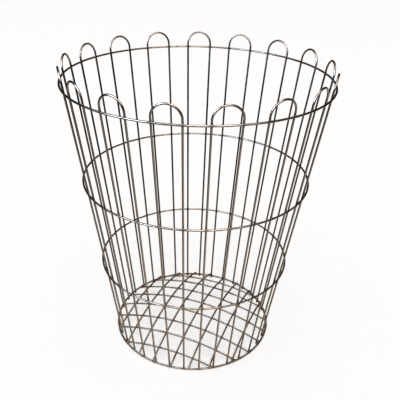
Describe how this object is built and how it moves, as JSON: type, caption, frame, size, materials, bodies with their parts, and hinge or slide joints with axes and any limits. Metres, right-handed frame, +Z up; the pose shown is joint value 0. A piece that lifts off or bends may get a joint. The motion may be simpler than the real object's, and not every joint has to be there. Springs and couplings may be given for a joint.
{
  "type": "wire fruit picking basket",
  "caption": "Open tapered basket of dark welded wire: looped hairpin wires stand round hoops over a domed floor of crossed wires.",
  "frame": {"origin": "on the basket's axis, at the level of the surface that its base ring stands on", "axes": "+Z up along the basket's axis, +Y through the hairpin at the back, +X to the right seen from the front"},
  "size_m": [0.3916, 0.3916, 0.4568],
  "materials": {
    "drawn_wire": "dark oxidised drawn steel wire with a low sheen",
    "floor_wire": "dark oxidised drawn steel wire, browner where fruit and damp lie",
    "weld_metal": "rough scaled resistance welds"
  },
  "bodies": {
    "root": {"hairpin_01": "drawn_wire", "hairpin_02": "drawn_wire", "hairpin_03": "drawn_wire", "hairpin_04": "drawn_wire", "hairpin_05": "drawn_wire", "hairpin_06": "drawn_wire", "hairpin_07": "drawn_wire", "hairpin_08": "drawn_wire", "hairpin_09": "drawn_wire", "hairpin_10": "drawn_wire", "hairpin_11": "drawn_wire", "hairpin_12": "drawn_wire", "hairpin_13": "drawn_wire", "hairpin_14": "drawn_wire", "hairpin_15": "drawn_wire", "hairpin_16": "drawn_wire", "hairpin_17": "drawn_wire", "rim_ring": "drawn_wire", "upper_ring": "drawn_wire", "lower_ring": "drawn_wire", "base_ring": "drawn_wire", "floor_upper_wire_1": "floor_wire", "floor_upper_wire_2": "floor_wire", "floor_upper_wire_3": "floor_wire", "floor_upper_wire_4": "floor_wire", "floor_upper_wire_5": "floor_wire", "floor_upper_wire_6": "floor_wire", "floor_upper_wire_7": "floor_wire", "floor_upper_wire_8": "floor_wire", "floor_lower_wire_1": "floor_wire", "floor_lower_wire_2": "floor_wire", "floor_lower_wire_3": "floor_wire", "floor_lower_wire_4": "floor_wire", "floor_lower_wire_5": "floor_wire", "floor_lower_wire_6": "floor_wire", "floor_lower_wire_7": "floor_wire", "floor_lower_wire_8": "floor_wire", "rim_ring_leg_welds": "weld_metal", "upper_ring_leg_welds": "weld_metal", "lower_ring_leg_welds": "weld_metal", "base_ring_leg_welds": "weld_metal", "floor_crossing_welds": "weld_metal", "floor_upper_end_welds": "weld_metal", "floor_lower_end_welds": "weld_metal"}
  },
  "joints": []
}
